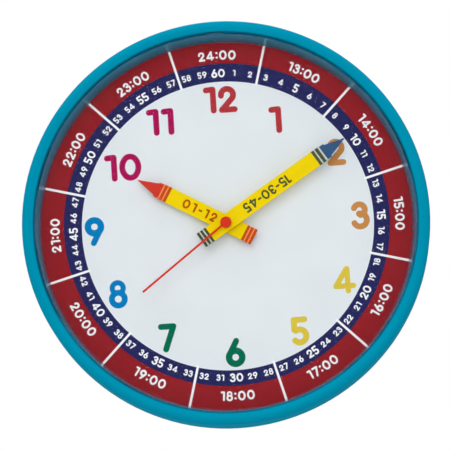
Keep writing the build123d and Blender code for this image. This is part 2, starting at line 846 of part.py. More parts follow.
# Rotor: a plastic arbor with its pinion, carrying the round magnet
rotor_pinion_back = intermediate_wheel_low - pinion_overhang
rotor_pinion_front = intermediate_wheel_low + wheel_thickness + pinion_overhang
with BuildPart() as rotor_pinion:
    rotor_steps = [
        (pivot_radius, rear_shoulder - pivot_length, rear_shoulder),
        (magnet_hub_radius, rear_shoulder, rotor_pinion_back),
        (arbor_radius, rotor_pinion_back, front_shoulder),
        (pivot_radius, front_shoulder, front_shoulder + pivot_length),
    ]
    revolve(turned(rotor_steps, at=rotor_at), axis=arbor_axis(rotor_at))
    rotor_turn = mate_turn(rotor_bearing, rotor_teeth)
    extrude(
        gear_face(rotor_teeth, rotor_module, eight_shift_share, rotor_turn, rotor_pinion_back, rotor_at),
        amount=rotor_pinion_front - rotor_pinion_back,
    )
rotor_pinion.part.label = "rotor_pinion"
export_step(rotor_pinion.part, "parts/rotor_pinion.step")

with BuildPart() as rotor_magnet:
    magnet_section = turned([(magnet_radius, magnet_back, magnet_front)], magnet_hub_radius + press_gap, rotor_at)
    revolve(magnet_section, axis=arbor_axis(rotor_at))
rotor_magnet.part.label = "rotor_magnet"
export_step(rotor_magnet.part, "parts/rotor_magnet.step")

# Soft iron stator: a yoke round the rotor and two legs up to the coil
leg_places = [(-leg_x, coil_z), (leg_x, coil_z)]
leg_length = coil_z + core_width / 2 - rotor_at[1] + stator_ring
with BuildPart() as stator:
    with BuildSketch(front_plane(stator_back, rotor_at)):
        Rectangle(2 * leg_x, 2 * stator_ring)
        Circle(stator_lobe)
        with Locations((-leg_x, -stator_ring), (leg_x, -stator_ring)):
            Rectangle(leg_width, leg_length, align=(Align.CENTER, Align.MIN))
        Circle(stator_hole, mode=Mode.SUBTRACT)
    extrude(amount=stator_thickness)
    with BuildSketch(front_plane(stator_back)):
        with Locations(*leg_places):
            Circle(stake_radius + press_gap)
    extrude(amount=stator_thickness, mode=Mode.SUBTRACT)
stator.part.label = "stator"
export_step(stator.part, "parts/stator.step")

with BuildPart() as coil_core:
    with BuildSketch(front_plane(stator_front, (0, coil_z))):
        Rectangle(2 * leg_x + leg_width, core_width)
        with Locations((-leg_x, 0), (leg_x, 0)):
            Circle(stake_radius + press_gap, mode=Mode.SUBTRACT)
    extrude(amount=stator_thickness)
coil_core.part.label = "coil_core"
export_step(coil_core.part, "parts/coil_core.step")

# Plastic bobbin on the core, and the winding between its flanges
coil_plane = Plane((-coil_length / 2, -coil_height, coil_z), x_dir=(0, 0, 1), z_dir=(1, 0, 0))
with BuildPart() as coil_bobbin:
    with BuildSketch(coil_plane):
        Circle(bobbin_radius)
    extrude(amount=coil_length)
    with BuildSketch(coil_plane, coil_plane.offset(coil_length - bobbin_flange)):
        Circle(bobbin_flange_radius)
    extrude(amount=bobbin_flange)
    with BuildSketch(coil_plane):
        Rectangle(core_width + 2 * press_gap, stator_thickness + 2 * press_gap)
    extrude(amount=coil_length, mode=Mode.SUBTRACT)
coil_bobbin.part.label = "coil_bobbin"
export_step(coil_bobbin.part, "parts/coil_bobbin.step")

with BuildPart() as coil_winding:
    with BuildSketch(coil_plane.offset(bobbin_flange + press_gap)):
        Circle(winding_radius)
        Circle(bobbin_radius + press_gap, mode=Mode.SUBTRACT)
    extrude(amount=coil_length - 2 * bobbin_flange - 2 * press_gap)
coil_winding.part.label = "coil_winding"
export_step(coil_winding.part, "parts/coil_winding.step")

# Front shell of the movement: gear chamber, battery bay, bearings, corner posts and coil stakes
slot_width = tab_width + 2 * contact_slot_play
slot_depth = contact_strip + 2 * contact_slot_play
slot_places = [(-tab_x, (chamber_low + bay_high) / 2), (tab_x, (chamber_low + bay_high) / 2)]
with BuildPart() as movement_front_case:
    with BuildSketch(front_plane(cover_front, (0, (shell_low + shell_high) / 2))):
        Rectangle(2 * shell_half, shell_high - shell_low)
    extrude(amount=movement_front - cover_front)
    with BuildSketch(front_plane(cover_front)):
        with Locations((0, (chamber_low + chamber_high) / 2)):
            Rectangle(2 * chamber_half, chamber_high - chamber_low)
        with Locations((0, (bay_low + bay_high) / 2)):
            Rectangle(2 * chamber_half, bay_high - bay_low)
    extrude(amount=chamber_front - cover_front, mode=Mode.SUBTRACT)
    with BuildSketch(front_plane(cover_front)):
        with Locations(*corner_places):
            Circle(corner_post_radius)
    extrude(amount=chamber_front - cover_front)
    with BuildSketch(front_plane(core_front)):
        with Locations(*leg_places):
            Circle(coil_post_radius)
    extrude(amount=chamber_front - core_front)
    with BuildSketch(front_plane(stator_back)):
        with Locations(*leg_places):
            Circle(stake_radius)
    extrude(amount=core_front - stator_back)
    with BuildSketch(front_plane(front_shoulder + end_shake)):
        with Locations(*train_places, setting_at):
            Circle(pivot_radius + running_gap + bearing_wall)
    extrude(amount=bearing_height)
    with BuildSketch(front_plane(front_shoulder)):
        with Locations(*train_places, setting_at):
            Circle(pivot_radius + running_gap)
    extrude(amount=pivot_length + end_shake, mode=Mode.SUBTRACT)
    with BuildSketch(front_plane(cover_front)):
        with Locations(*corner_places):
            Circle(cover_screw_radius + thread_gap)
    extrude(amount=cover_screw_grip + overrun, mode=Mode.SUBTRACT)
    with BuildSketch(front_plane(strip_back - contact_slot_play)):
        with Locations(*slot_places):
            Rectangle(slot_width, 2 * shell_wall)
    extrude(amount=slot_depth, mode=Mode.SUBTRACT)
    with BuildSketch(front_plane(chamber_front)):
        Circle(bush_radius + press_gap)
    extrude(amount=shell_wall, mode=Mode.SUBTRACT)
movement_front_case.part.label = "movement_front_case"
export_step(movement_front_case.part, "parts/movement_front_case.step")

# Rear cover over the gear chamber, with the rear bearings and the hole for the setting arbor
cover_hole = cover_screw_radius + cover_screw_play
with BuildPart() as movement_rear_cover:
    with BuildSketch(front_plane(cover_back, (0, (bay_high + shell_high) / 2))):
        Rectangle(2 * shell_half, shell_high - bay_high)
    extrude(amount=cover_thickness)
    with BuildSketch(front_plane(cover_front)):
        with Locations(*train_places, centre_at):
            Circle(pivot_radius + running_gap + bearing_wall)
    extrude(amount=bearing_height)
    with BuildSketch(front_plane(rear_shoulder - pivot_length - end_shake)):
        with Locations(*train_places):
            Circle(pivot_radius + running_gap)
        Circle(second_arbor_radius + running_gap)
    extrude(amount=pivot_length + end_shake, mode=Mode.SUBTRACT)
    with BuildSketch(front_plane(cover_back)):
        with Locations(*corner_places):
            Circle(cover_hole)
        with Locations(setting_at):
            Circle(setting_neck_radius + running_gap)
    extrude(amount=cover_thickness, mode=Mode.SUBTRACT)
movement_rear_cover.part.label = "movement_rear_cover"
export_step(movement_rear_cover.part, "parts/movement_rear_cover.step")

cover_screw_length = cover_thickness + cover_screw_grip
cover_screws = screw_set(
    corner_places, cover_screw_radius, cover_screw_length, cover_head_radius, cover_head_height, cover_back
)
cover_screws.label = "cover_screws"
export_step(cover_screws, "parts/cover_screws.step")

# Circuit board standing against the bay wall, with its crystal and chip
with BuildPart() as circuit_board:
    with BuildSketch(front_plane(board_back, (0, chamber_low))):
        Rectangle(2 * board_half, board_thickness, align=(Align.CENTER, Align.MIN))
    extrude(amount=board_depth)
circuit_board.part.label = "circuit_board"
export_step(circuit_board.part, "parts/circuit_board.step")

crystal_plane = Plane(
    (-board_half + chip_inset, -(board_back + board_depth / 2), board_top + crystal_radius),
    x_dir=(0, 0, 1),
    z_dir=(1, 0, 0),
)
with BuildPart() as quartz_crystal:
    with BuildSketch(crystal_plane):
        Circle(crystal_radius)
    extrude(amount=crystal_length)
quartz_crystal.part.label = "quartz_crystal"
export_step(quartz_crystal.part, "parts/quartz_crystal.step")

with BuildPart() as control_chip:
    with BuildSketch(front_plane(board_back + chip_inset, (board_half - chip_inset, board_top))):
        Rectangle(chip_side, chip_thickness, align=(Align.MAX, Align.MIN))
    extrude(amount=chip_side)
control_chip.part.label = "control_chip"
export_step(control_chip.part, "parts/control_chip.step")


def contact_plate(side):
    # End plate in the bay, a strip along the bay wall and a tab through it to the board.
    plate_x = side * (chamber_half - contact_thickness / 2)
    plate_low = battery_z - contact_width / 2
    plate_back = battery_height - contact_width / 2
    strip_length = chamber_half - tab_x + tab_width / 2
    strip_x = side * (chamber_half - strip_length / 2)
    tab_length = chamber_low - bay_high + contact_thickness
    strip_z = bay_high - contact_thickness
    with BuildPart() as contact:
        with BuildSketch(front_plane(plate_back, (plate_x, plate_low))):
            Rectangle(contact_thickness, bay_high - plate_low, align=(Align.CENTER, Align.MIN))
        extrude(amount=strip_front - plate_back)
        with BuildSketch(front_plane(strip_back)):
            with Locations((strip_x, strip_z)):
                Rectangle(strip_length, contact_thickness, align=(Align.CENTER, Align.MIN))
            with Locations((side * tab_x, strip_z)):
                Rectangle(tab_width, tab_length, align=(Align.CENTER, Align.MIN))
        extrude(amount=contact_strip)
    return contact.part


# Contact plates at the two ends of the bay
positive_contact = contact_plate(1)
positive_contact.label = "positive_contact"
export_step(positive_contact, "parts/positive_contact.step")

# Spring leaf: a bowed tongue from the end plate to the flat end of the battery
leaf_root = -(chamber_half - contact_thickness)
leaf_tip = leaf_root + leaf_reach
leaf_half = contact_width / 2
with BuildPart() as negative_contact:
    add(contact_plate(-1))
    with BuildSketch(Plane((0, -battery_height, battery_z), x_dir=(1, 0, 0), z_dir=(0, 0, 1))):
        with BuildLine():
            Polyline(
                (leaf_root, -leaf_half),
                (leaf_tip, -contact_thickness),
                (leaf_tip, contact_thickness),
                (leaf_root + leaf_reach / 2, leaf_half),
                (leaf_root + leaf_reach / 2 - contact_thickness, leaf_half),
                (leaf_tip - contact_thickness, 0),
                (leaf_root, contact_thickness - leaf_half),
                close=True,
            )
        make_face()
    extrude(amount=leaf_width / 2, both=True)
negative_contact.part.label = "negative_contact"
export_step(negative_contact.part, "parts/negative_contact.step")

# Dry cell lying in the bay, its nub against the positive plate
battery_plane = Plane((leaf_tip, -battery_height, battery_z), x_dir=(0, 0, 1), z_dir=(1, 0, 0))
with BuildPart() as battery:
    with BuildSketch(battery_plane):
        Circle(battery_radius)
    extrude(amount=battery_length - nub_length)
    fillet(battery.edges().filter_by(GeomType.CIRCLE), radius=battery_round)
    with BuildSketch(battery_plane):
        Circle(nub_radius)
    extrude(amount=battery_length)
battery.part.label = "battery"
export_step(battery.part, "parts/battery.step")
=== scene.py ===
import json
import math

import bmesh
import bpy
from mathutils import Matrix, Vector


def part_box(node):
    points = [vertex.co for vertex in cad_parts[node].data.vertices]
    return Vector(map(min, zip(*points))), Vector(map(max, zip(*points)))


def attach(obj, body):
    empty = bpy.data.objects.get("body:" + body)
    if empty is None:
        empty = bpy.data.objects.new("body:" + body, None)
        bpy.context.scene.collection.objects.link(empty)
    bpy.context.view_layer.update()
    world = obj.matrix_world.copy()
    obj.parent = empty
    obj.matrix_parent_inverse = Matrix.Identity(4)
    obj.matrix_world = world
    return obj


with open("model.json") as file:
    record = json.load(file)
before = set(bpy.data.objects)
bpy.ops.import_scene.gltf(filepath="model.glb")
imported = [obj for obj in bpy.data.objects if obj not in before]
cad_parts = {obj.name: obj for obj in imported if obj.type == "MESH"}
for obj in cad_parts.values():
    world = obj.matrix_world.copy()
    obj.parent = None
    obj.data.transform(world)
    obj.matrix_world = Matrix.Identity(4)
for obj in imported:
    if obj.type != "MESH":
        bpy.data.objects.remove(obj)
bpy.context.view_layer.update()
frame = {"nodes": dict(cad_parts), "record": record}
scene = bpy.context.scene
scene.view_settings.view_transform = "Standard"
print("frame loaded:", len(frame["nodes"]), "nodes")


class Wire:  # one socket, so that shader maths reads as plain sums
    def __init__(self, paint, socket):
        self.paint = paint
        self.socket = socket

    def sum(self, operation, first, second):
        return self.paint.node("ShaderNodeMath", {"operation": operation}, {0: first, 1: second})

    def __add__(self, other):
        return self.sum("ADD", self, other)

    def __radd__(self, other):
        return self.sum("ADD", other, self)

    def __sub__(self, other):
        return self.sum("SUBTRACT", self, other)

    def __rsub__(self, other):
        return self.sum("SUBTRACT", other, self)

    def __mul__(self, other):
        return self.sum("MULTIPLY", self, other)

    def __pow__(self, other):
        return self.sum("POWER", self, other)

    def __gt__(self, other):
        return self.sum("GREATER_THAN", self, other)

    def __lt__(self, other):
        return self.sum("LESS_THAN", self, other)


class Paint:  # a node tree that is filled from the top down
    def __init__(self, tree):
        self.tree = tree
        tree.nodes.clear()

    def node(self, kind, settings=None, sockets=None, out=0):
        made = self.tree.nodes.new(kind)
        for key, value in (settings or {}).items():
            setattr(made, key, value)
        for key, value in (sockets or {}).items():
            if isinstance(value, Wire):
                self.tree.links.new(value.socket, made.inputs[key])
            else:
                made.inputs[key].default_value = value
        return Wire(self, made.outputs[out]) if made.outputs else None

    def place(self):
        return self.node("ShaderNodeTexCoord", out="Object")

    def vector(self, operation, first, second=(0.0, 0.0, 0.0), out="Value"):
        return self.node("ShaderNodeVectorMath", {"operation": operation}, {0: first, 1: second}, out)

    def grain(self, scale, detail=2.0):
        return self.node("ShaderNodeTexNoise", {}, {"Vector": self.place(), "Scale": scale, "Detail": detail})

    def blend(self, factor, first, second):  # a Mix node's sockets 6 and 7 and its output 2 are the colours
        return self.node("ShaderNodeMix", {"data_type": "RGBA"}, {0: factor, 6: first, 7: second}, out=2)

    def bump(self, height, strength, distance):
        return self.node("ShaderNodeBump", {}, {"Height": height, "Strength": strength, "Distance": distance})

    def body(self, sockets):
        return self.node("ShaderNodeBsdfPrincipled", {}, sockets)

    def close(self, shader):
        self.node("ShaderNodeOutputMaterial", {}, {"Surface": shader})


def ink(red, green, blue):  # screen colour, 0 to 255, as the linear colour that shaders take
    shares = [part / 255 for part in (red, green, blue)]
    linear = [part / 12.92 if part <= 0.04045 else ((part + 0.055) / 1.055) ** 2.4 for part in shares]
    return (*linear, 1.0)


def shade(colour, share):
    return (*[part * share for part in colour[:3]], 1.0)


def newFinish(name):
    made = bpy.data.materials.new(name)
    made.use_nodes = True
    return made, Paint(made.node_tree)


# moulded plastics

plasticFinishes = {
    "tealGloss": dict(
        colour=ink(0, 140, 171), rough=0.34, spread=0.08, grain=900, bump=0.05, level=0.0, coat=0.02),
    "tealPan": dict(colour=ink(18, 132, 160), rough=0.5, spread=0.14, grain=2600, bump=0.5, level=0.3),
    "movementBlack": dict(colour=ink(54, 54, 58), rough=0.52, spread=0.14, grain=3400, bump=0.6, level=0.4),
    "knobGrey": dict(colour=ink(98, 98, 102), rough=0.42, spread=0.12, grain=3000, bump=0.4, level=0.4),
    "rubberBlack": dict(colour=ink(26, 26, 26), rough=0.8, spread=0.1, grain=2600, bump=0.5, level=0.3),
    "naturalAcetal": dict(
        colour=ink(233, 228, 212), rough=0.34, spread=0.1, grain=1800, bump=0.15, level=0.4),
    "chipBlack": dict(colour=ink(24, 24, 25), rough=0.42, spread=0.12, grain=2600, bump=0.3, level=0.4),
    "magnetGrey": dict(colour=ink(92, 92, 95), rough=0.48, spread=0.16, grain=3000, bump=0.4, level=0.5),
    # painted shade: dark for the screws' cross recesses, which are drawn as flat marks
    "recessShade": dict(colour=ink(44, 44, 47), rough=0.6, spread=0.14, grain=3000, bump=0.4, level=0.3),
    "secondRed": dict(colour=ink(212, 50, 26), rough=0.36, spread=0.08, grain=2400, bump=0.1, level=0.03),
}
plasticTone = dict(cloud=26.0, pale=1.06, deep=0.93, fleck=0.84, fleckShare=0.3, depth=0.00004)
# painted shade: a dark line on the lip's inner edge, where the gap by the lens is in shade
lipShadeLine = dict(finish="tealGloss", overlap=0.0008, width=0.0007, colour=ink(0, 95, 127))


def plasticFinish(name, colour, rough, spread, grain, bump, level, coat=0.0):
    made, paint = newFinish(name)
    cloud = paint.grain(plasticTone["cloud"], detail=3.0)  # slow change of tone across the moulding
    fine = paint.grain(grain, detail=3.0)
    tone = paint.blend(cloud, shade(colour, plasticTone["deep"]), shade(colour, plasticTone["pale"]))
    if name == lipShadeLine["finish"]:  # painted shade: the lip's edge made darker where it meets the lens, for the shade in the gap there
        flat = paint.vector("MULTIPLY", paint.place(), (1.0, 0.0, 1.0), out="Vector")
        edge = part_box("lens")[1][0] - lipShadeLine["overlap"] + lipShadeLine["width"]
        tone = paint.blend(paint.vector("LENGTH", flat) < edge, tone, lipShadeLine["colour"])
    flecks = fine * plasticTone["fleckShare"]
    sockets = {
        "Base Color": paint.blend(flecks, tone, shade(colour, plasticTone["fleck"])),
        "Roughness": rough + (fine - 0.5) * spread,
        "Specular IOR Level": level,
        "Coat Weight": coat,
        "Coat Roughness": 0.05,
        "Coat IOR": 1.5,
        "Normal": paint.bump(fine, bump, plasticTone["depth"]),
    }
    paint.close(paint.body(sockets))
    return made


metalFinishes = {
    "zincSteel": dict(colour=(0.66, 0.67, 0.69, 1), dark=(0.5, 0.51, 0.53, 1), rough=0.3, turned=False),
    "turnedBrass": dict(colour=(0.83, 0.63, 0.3, 1), dark=(0.66, 0.47, 0.2, 1), rough=0.26, turned=True),
    "softIron": dict(colour=(0.42, 0.42, 0.43, 1), dark=(0.28, 0.28, 0.3, 1), rough=0.46, turned=False),
}
metalGrain = dict(
    spots=420.0, fine=5200.0, rings=1800.0, rolled=(220.0, 9000.0, 9000.0), bump=0.12, depth=0.00003,
)


def metalFinish(name, colour, dark, rough, turned):
    made, paint = newFinish(name)
    spots = paint.grain(metalGrain["spots"], detail=4.0)
    fine = paint.grain(metalGrain["fine"])
    if turned:  # rings left by the tool, round the hands' axis
        lines = paint.node(
            "ShaderNodeTexWave",
            {"wave_type": "RINGS", "rings_direction": "Y"},
            {"Vector": paint.place(), "Scale": metalGrain["rings"], "Distortion": 0.6},
            out="Fac",
        )
    else:  # rolling lines along the sheet
        rolled = {"Vector": paint.place(), "Scale": metalGrain["rolled"]}
        stretched = paint.node("ShaderNodeMapping", {}, rolled)
        lines = paint.node("ShaderNodeTexNoise", {}, {"Vector": stretched, "Scale": 1.0, "Detail": 2.0})
    sockets = {
        "Base Color": paint.blend(spots, dark, colour),
        "Metallic": 1.0,
        "Roughness": rough + (spots - 0.5) * 0.2 + (lines - 0.5) * 0.12,
        "Normal": paint.bump(lines + fine * 0.5, metalGrain["bump"], metalGrain["depth"]),
    }
    paint.close(paint.body(sockets))
    return made


inkFinishes = {
    "dialWhite": ink(226, 230, 234),
    "lineWhite": ink(246, 244, 246),
    "ringRed": ink(149, 31, 38),
    "ringNavy": ink(38, 39, 90),
    "numeralRed": ink(177, 52, 58),
    "numeralOrange": ink(198, 135, 75),
    "numeralYellow": ink(218, 192, 66),
    "numeralGreen": ink(0, 105, 77),
    "numeralBlue": ink(0, 123, 185),
    "numeralMagenta": ink(169, 16, 84),
    "labelBrown": ink(176, 74, 4),
    "labelOlive": ink(74, 84, 48),
}
inkTone = dict(
    cloud=34.0, pale=1.05, deep=0.94, tooth=6200.0, fleck=0.86, fleckShare=0.22, rough=0.44, level=0.02,
)


def inkFinish(name, colour):
    made, paint = newFinish(name)
    cloud = paint.grain(inkTone["cloud"])
    fleck = paint.grain(inkTone["tooth"])  # tooth of the sheet under the ink
    tone = paint.blend(cloud, shade(colour, inkTone["deep"]), shade(colour, inkTone["pale"]))
    sockets = {
        "Base Color": paint.blend(fleck * inkTone["fleckShare"], tone, shade(colour, inkTone["fleck"])),
        "Roughness": inkTone["rough"] + (fleck - 0.5) * 0.16,
        "Specular IOR Level": inkTone["level"],
        "Normal": paint.bump(fleck, strength=0.1, distance=0.00002),
    }
    paint.close(paint.body(sockets))
    return made


# the wall's painted shade: dark at the foot by the dial, painted light at the brow by the lens, and darker
# under the lip
wallTone = dict(
    shadedFoot=ink(0, 94, 117), litBrow=ink(0, 143, 176), under=ink(0, 92, 118), underFrom=0.985,
    fleck=ink(0, 80, 102), footCoat=0.95, coatLoss=0.85,
)


def wallFinish(name):  # painted shade and light: deeper in colour towards the dial, where the corner is in shade, and lighter by the lens where light falls; also shinier from the lens down to the dial
    made, paint = newFinish(name)
    low, high = [-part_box("spacer_ring")[end][1] for end in (1, 0)]
    height = paint.vector("DOT_PRODUCT", paint.place(), (0.0, -1.0, 0.0))
    share = (height - low) * (1 / (high - low))
    fine = paint.grain(scale=900.0, detail=3.0)
    # painted shade at the foot, going over to painted light towards the lip
    tone = paint.blend(share, wallTone["shadedFoot"], wallTone["litBrow"])
    tone = paint.blend(share > wallTone["underFrom"], tone, wallTone["under"])  # in the lip's shade
    sockets = {
        "Base Color": paint.blend(fine * 0.1, tone, wallTone["fleck"]),
        "Roughness": 0.2 + (fine - 0.5) * 0.05,
        "Specular IOR Level": 0.1,
        "Coat Weight": wallTone["footCoat"] - share * wallTone["coatLoss"],
        "Coat Roughness": 0.05,
        "Coat IOR": 1.5,
        "Normal": paint.bump(fine, strength=0.03, distance=0.00004),
    }
    paint.close(paint.body(sockets))
    return made


lensLook = dict(
    tint=(0.985, 0.992, 0.992, 1.0), shine=(1.0, 1.0, 1.0, 1.0), rough=0.03, smear=0.001, edgeShine=0.6,
)


def lensFinish(name):
    made, paint = newFinish(name)
    smear = paint.grain(scale=60.0, detail=3.0)
    facing = paint.node("ShaderNodeLayerWeight", {}, {"Blend": 0.5}, out="Facing")
    clear = paint.node("ShaderNodeBsdfTransparent", {}, {"Color": lensLook["tint"]})
    shine = {"Color": lensLook["shine"], "Roughness": lensLook["rough"]}
    gloss = paint.node("ShaderNodeBsdfGlossy", {}, shine)
    share = smear * lensLook["smear"] + facing**5 * lensLook["edgeShine"]
    paint.close(paint.node("ShaderNodeMixShader", {}, {0: share, 1: clear, 2: gloss}))
    return made


windingLook = dict(wires=1600.0, gap=(0.3, 0.09, 0.03, 1.0), wire=(0.78, 0.34, 0.14, 1.0), metal=0.85)


def windingFinish(name):
    made, paint = newFinish(name)
    turns = paint.node(
        "ShaderNodeTexWave",
        {"wave_type": "BANDS", "bands_direction": "X"},
        {"Vector": paint.place(), "Scale": windingLook["wires"], "Distortion": 0.4},
        out="Fac",
    )
    sockets = {
        "Base Color": paint.blend(turns, windingLook["gap"], windingLook["wire"]),
        "Metallic": windingLook["metal"],
        "Roughness": 0.26 + turns * 0.1,
        "Normal": paint.bump(turns, strength=0.5, distance=0.0001),
    }
    paint.close(paint.body(sockets))
    return made


boardLook = dict(tracks=260.0, gap=0.06, mask=ink(14, 92, 50), track=ink(36, 128, 74))


def boardFinish(name):
    made, paint = newFinish(name)
    tracks = paint.node(
        "ShaderNodeTexBrick",
        {"offset": 0.35},
        {"Vector": paint.place(), "Scale": boardLook["tracks"], "Mortar Size": boardLook["gap"]},
        out="Fac",
    )
    fine = paint.grain(scale=3000.0)
    sockets = {
        "Base Color": paint.blend(tracks, boardLook["mask"], boardLook["track"]),
        "Roughness": 0.36 + fine * 0.1,
        "Normal": paint.bump(tracks, strength=0.2, distance=0.00005),
    }
    paint.close(paint.body(sockets))
    return made


def bandedFinish(name, direction, start, steps, rough, metal=None):
    # colours in bands along a direction: a start colour, then (distance in mm, colour) steps
    made, paint = newFinish(name)
    along = paint.vector("DOT_PRODUCT", paint.place(), direction)
    fine = paint.grain(scale=3000.0)
    cloud = paint.grain(scale=40.0)
    tone = start
    for edge, colour in steps:
        tone = paint.blend(along > edge / 1000, tone, colour)
    sockets = {
        "Base Color": paint.blend(0.9 + cloud * 0.1, (0.0, 0.0, 0.0, 1.0), tone),
        "Metallic": along > metal / 1000 if metal else 0.0,  # bare metal past this distance
        "Roughness": rough + (fine - 0.5) * 0.12,
        "Specular IOR Level": 0.02,
        "Normal": paint.bump(fine, strength=0.12, distance=0.00003),
    }
    paint.close(paint.body(sockets))
    return made


hourPrint = dict(
    angle=300.1, reach=63.7, tail=19.9, body=ink(242, 210, 0), tip=ink(206, 56, 40), dark=ink(190, 76, 20),
    light=ink(252, 136, 84), bands=(0.9, 1.9, 0.9, 1.9),
)
minutePrint = dict(
    angle=57.8, reach=93.6, tail=19.4, body=ink(242, 210, 0), tip=ink(52, 86, 128), dark=ink(74, 82, 66),
    light=ink(196, 202, 184), bands=(1.2, 2.2, 0.9, 2.0),
)
tipLength = 17.0  # cone and ferrule together
tailBands = (1.7, 0.9, 1.7, 0.9, 1.7)
handRough = 0.42


def handFinish(name, angle, reach, tail, body, tip, dark, light, bands):
    turn = math.radians(angle)
    steps = []
    spot = -tail
    for number, width in enumerate(tailBands):
        spot += width
        steps.append((spot, (light, dark)[number % 2]))
    steps[-1] = (spot, body)
    spot = reach - tipLength - sum(bands)
    for number, width in enumerate(reversed(bands)):
        steps.append((spot, (dark, light)[number % 2]))
        spot += width
    steps.append((spot, tip))
    return bandedFinish(name, (math.sin(turn), 0.0, math.cos(turn)), dark, steps, handRough)


cellPrint = dict(
    direction=(1.0, 0.0, 0.0), start=ink(205, 206, 208), rough=0.3, metal=25.2,
    steps=[
        (-21.4, ink(126, 150, 132)), (16.5, ink(236, 238, 236)),
        (18.0, ink(96, 118, 104)), (25.2, ink(205, 206, 208)),
    ],
)

finishes = {}
for name, values in plasticFinishes.items():
    finishes[name] = plasticFinish(name, **values)
for name, values in metalFinishes.items():
    finishes[name] = metalFinish(name, **values)
for name, colour in inkFinishes.items():
    finishes[name] = inkFinish(name, colour)
finishes["tealWall"] = wallFinish("tealWall")
finishes["lensClear"] = lensFinish("lensClear")
finishes["copperWinding"] = windingFinish("copperWinding")
finishes["boardGreen"] = boardFinish("boardGreen")
finishes["hourYellow"] = handFinish("hourYellow", **hourPrint)
finishes["minuteYellow"] = handFinish("minuteYellow", **minutePrint)
finishes["cellSleeve"] = bandedFinish("cellSleeve", **cellPrint)
print("finishes made:", len(finishes))

slotFinishes = {
    "rim_gloss": "tealGloss", "clear_lens": "lensClear", "dial_print": "dialWhite", "pan_plastic": "tealPan",
    "steel_zinc": "zincSteel", "brass_turned": "turnedBrass", "rubber_black": "rubberBlack",
    "movement_black": "movementBlack", "soft_iron": "softIron", "natural_plastic": "naturalAcetal",
    "copper_wire": "copperWinding", "board_green": "boardGreen", "chip_black": "chipBlack",
    "battery_sleeve": "cellSleeve", "magnet_grey": "magnetGrey", "second_red": "secondRed",
}
nodeFinishes = {
    "spacer_ring": "tealWall", "hour_hand": "hourYellow", "minute_hand": "minuteYellow",
    "setting_knob": "knobGrey",
}
for part in frame["record"]["subparts"]:
    name = nodeFinishes.get(part["node"]) or slotFinishes[part["material_slot"]]
    for spot in frame["nodes"][part["node"]].material_slots:
        spot.material = finishes[name]
print("nodes dressed")


# everything new is drawn on the dial in mm: x to 3 o'clock, y to 12, z off the wall

toFrame = Matrix(((1, 0, 0, 0), (0, 0, -1, 0), (0, 1, 0, 0), (0, 0, 0, 1))) @ Matrix.Scale(0.001, 4)
weldGap = 0.001
sliver = 0.002


def frontOf(node):
    return -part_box(node)[0][1] * 1000


dialFront = frontOf("dial_plate")


def settle(name, bm, finish, body):
    bmesh.ops.transform(bm, matrix=toFrame, verts=bm.verts)
    bmesh.ops.recalc_face_normals(bm, faces=bm.faces)
    mesh = bpy.data.meshes.new(name)
    bm.to_mesh(mesh)
    bm.free()
    mesh.materials.append(finishes[finish])
    piece = bpy.data.objects.new(name, mesh)
    scene.collection.objects.link(piece)
    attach(piece, body)


def edgeOf(made):
    return next(item for item in made if isinstance(item, bmesh.types.BMEdge))


def sideways(angle):  # to the left of a heading
    return Vector((-math.sin(angle), math.cos(angle), 0))


def penStroke(bm, start, heading, moves, width, closed=False, bendStep=7.5, capSteps=12):
    # ribbon of even width: straight lengths, and (radius, degrees) bends that are positive to the left
    spot = Vector((*start, 0))
    angle = math.radians(heading)
    half = sideways(angle) * width / 2
    edge = bm.edges.new((bm.verts.new(spot + half), bm.verts.new(spot - half)))
    ends = [(spot.copy(), edge.verts[0], math.pi)]
    for move in moves:
        if isinstance(move, tuple):
            radius, bend = move
            centre = spot + sideways(angle) * math.copysign(radius, bend)
            turn = math.radians(bend)
            steps = max(2, round(abs(bend) / bendStep))
            swept = [*edge.verts, edge]
            made = bmesh.ops.spin(bm, geom=swept, cent=centre, axis=(0, 0, 1), angle=turn, steps=steps)
            edge = edgeOf(made["geom_last"])
            spot = centre + Matrix.Rotation(turn, 3, "Z") @ (spot - centre)
            angle += turn
        else:
            step = Vector((math.cos(angle), math.sin(angle), 0)) * move
            edge = edgeOf(bmesh.ops.extrude_edge_only(bm, edges=[edge])["geom"])
            bmesh.ops.translate(bm, vec=step, verts=edge.verts)
            spot = spot + step
    ends.append((spot, edge.verts[0], -math.pi))
    if closed:
        bmesh.ops.remove_doubles(bm, verts=bm.verts, dist=weldGap)
        return
    for where, vert, turn in ends:  # round ends
        bmesh.ops.spin(bm, geom=[vert], cent=where, axis=(0, 0, 1), angle=turn, steps=capSteps)
        bmesh.ops.remove_doubles(bm, verts=bm.verts, dist=weldGap)
    bmesh.ops.holes_fill(bm, edges=bm.edges, sides=40)


def thicken(bm, low, high):  # flat faces at z 0 become a closed layer
    made = bmesh.ops.extrude_face_region(bm, geom=bm.faces[:])
    raised = [item for item in made["geom"] if isinstance(item, bmesh.types.BMVert)]
    flat = [vert for vert in bm.verts if vert not in set(raised)]
    bmesh.ops.translate(bm, vec=(0, 0, low), verts=flat)
    bmesh.ops.translate(bm, vec=(0, 0, high), verts=raised)


def welded(mesh):  # loose seams and slivers closed up
    bm = bmesh.new()
    bm.from_mesh(mesh)
    bmesh.ops.remove_doubles(bm, verts=bm.verts, dist=sliver)
    bmesh.ops.dissolve_degenerate(bm, edges=bm.edges, dist=sliver)
    bm.to_mesh(mesh)
    bm.free()
    return mesh


